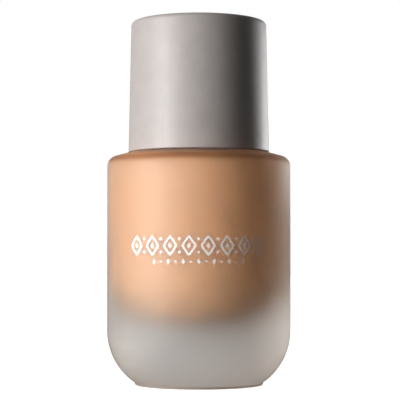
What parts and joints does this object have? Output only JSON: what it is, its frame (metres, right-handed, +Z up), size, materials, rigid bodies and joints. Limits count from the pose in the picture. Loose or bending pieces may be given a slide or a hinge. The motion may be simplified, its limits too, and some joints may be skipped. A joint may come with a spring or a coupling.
{
  "type": "foundation bottle",
  "caption": "Thick frosted glass cosmetic bottle with a rounded heel, a screw-on treatment pump with a press-down swivelling button, and a tall pull-off overcap.",
  "frame": {"origin": "centre of the base, on the surface that the bottle stands on", "axes": "+Z up along the bottle's axis, with the pump's spout pointing along -Y"},
  "size_m": [0.043, 0.043, 0.085],
  "materials": {
    "frosted_glass": "acid-frosted outside",
    "foundation": "smooth opaque liquid",
    "greige_plastic": "satin, injection moulded",
    "natural_plastic": "translucent, injection moulded",
    "seal_plastic": "soft satin",
    "stainless_steel": "bright drawn wire and polished ball",
    "label_paper": "blank, matt"
  },
  "bodies": {
    "bottle": {"glass_bottle": "frosted_glass", "foundation_fill": "foundation", "base_label": "label_paper"},
    "pump": {"pump_housing": "natural_plastic", "stem_guide": "natural_plastic", "neck_gasket": "seal_plastic", "dip_tube": "natural_plastic", "pump_spring": "stainless_steel"},
    "closure": {"pump_closure": "natural_plastic", "closure_sleeve": "greige_plastic"},
    "overcap": {"overcap_shell": "greige_plastic", "overcap_insert": "natural_plastic"},
    "plunger": {"pump_stem": "natural_plastic", "piston_seat": "natural_plastic"},
    "piston": {"piston_seal": "seal_plastic"},
    "actuator": {"actuator_core": "natural_plastic", "actuator_shell": "greige_plastic", "nozzle_insert": "greige_plastic"},
    "ball": {"inlet_ball": "stainless_steel"}
  },
  "joints": [
    {"name": "pump_lift", "type": "slide", "parent": "bottle", "child": "pump", "axis": [0, 0, 1], "range_m": [0, 0.0048]},
    {"name": "closure_turn", "type": "hinge", "parent": "pump", "child": "closure", "pos_m": [0, 0, 0.06], "axis": [0, 0, 1], "range_deg": [0, 540]},
    {"name": "overcap_lift", "type": "slide", "parent": "closure", "child": "overcap", "axis": [0, 0, 1], "range_m": [0, 0.032]},
    {"name": "actuator_press", "type": "slide", "parent": "pump", "child": "plunger", "axis": [0, 0, -1], "range_m": [0, 0.004], "stiffness_N_per_m": 1200, "springref_m": -0.004, "deforming": ["pump_spring"]},
    {"name": "piston_follow", "type": "slide", "parent": "pump", "child": "piston", "axis": [0, 0, -1], "range_m": [0, 0.0034]},
    {"name": "actuator_swivel", "type": "hinge", "parent": "plunger", "child": "actuator", "pos_m": [0, 0, 0.0775], "axis": [0, 0, 1], "continuous": true},
    {"name": "inlet_ball_lift", "type": "slide", "parent": "pump", "child": "ball", "axis": [0, 0, 1], "range_m": [0, 0.0012]}
  ],
  "couplings": [
    {"joint": "pump_lift", "follows": "closure_turn", "m_per_rad": 0.00050532},
    {"joint": "piston_follow", "follows": "actuator_press", "ratio": 0.85}
  ]
}
